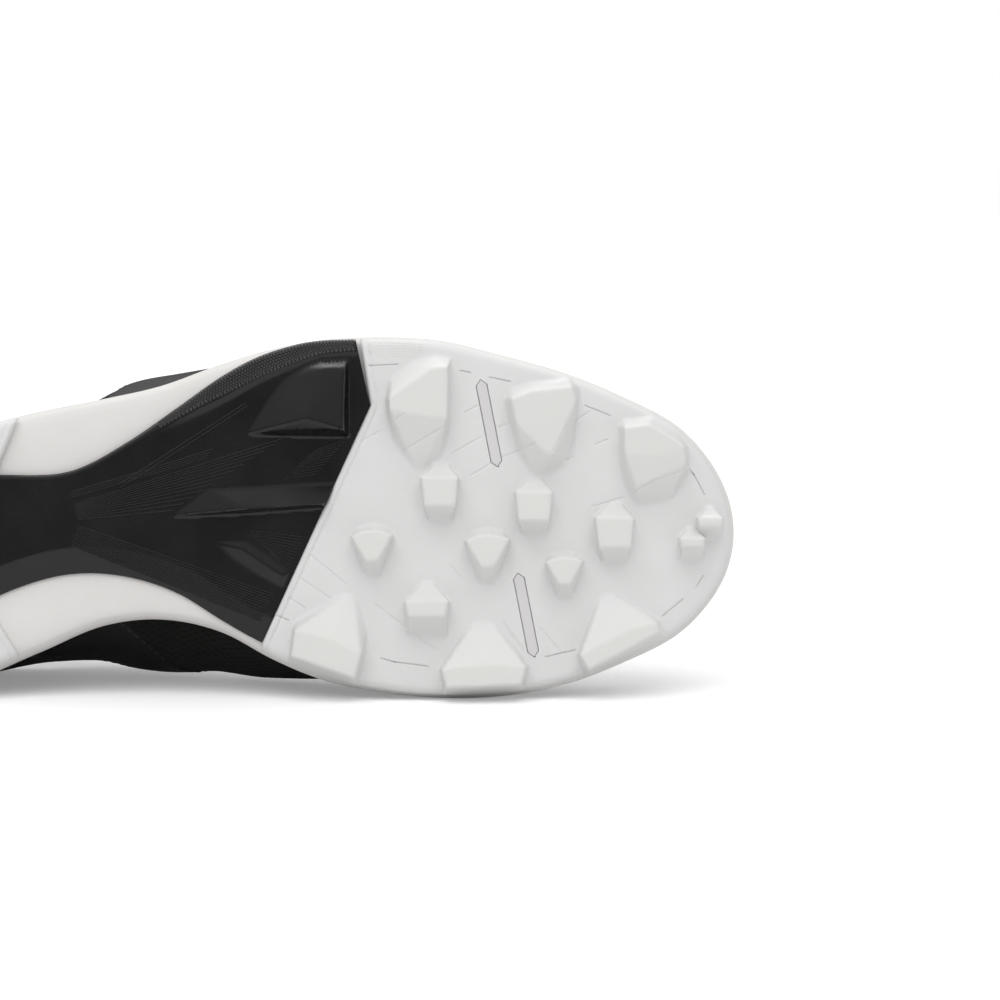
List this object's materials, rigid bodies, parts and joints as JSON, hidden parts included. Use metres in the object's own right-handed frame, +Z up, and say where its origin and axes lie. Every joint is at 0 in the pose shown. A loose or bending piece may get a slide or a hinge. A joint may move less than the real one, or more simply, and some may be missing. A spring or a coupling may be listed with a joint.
{
  "type": "baseball shoe",
  "caption": "Low baseball shoe for the right foot, lying on its medial side: black upper, white foam midsole, white rubber outsole with moulded lugs, and a black shank plate at the waist",
  "frame": {"origin": "on the floor, under the centre of the bounding box of the shoe as it lies", "axes": "+X from the heel to the toe, +Y from the sole towards the collar, +Z up from the floor; the medial side is down"},
  "size_m": [0.298, 0.1338, 0.1082],
  "materials": {
    "white_rubber": "white moulded rubber, satin",
    "black_rubber": "black moulded rubber, satin with ribbed patches",
    "white_foam": "white moulded foam, matt",
    "black_textile": "black woven textile, matt",
    "dark_lining": "charcoal lining cloth, matt"
  },
  "bodies": {
    "root": {"outsole_forefoot": "white_rubber", "outsole_heel": "white_rubber", "outsole_shank": "black_rubber", "flex_strip_lateral": "white_foam", "flex_strip_medial": "white_foam", "midsole": "white_foam", "insole": "dark_lining", "upper": "black_textile", "tongue": "black_textile", "lace": "black_textile"}
  },
  "joints": []
}
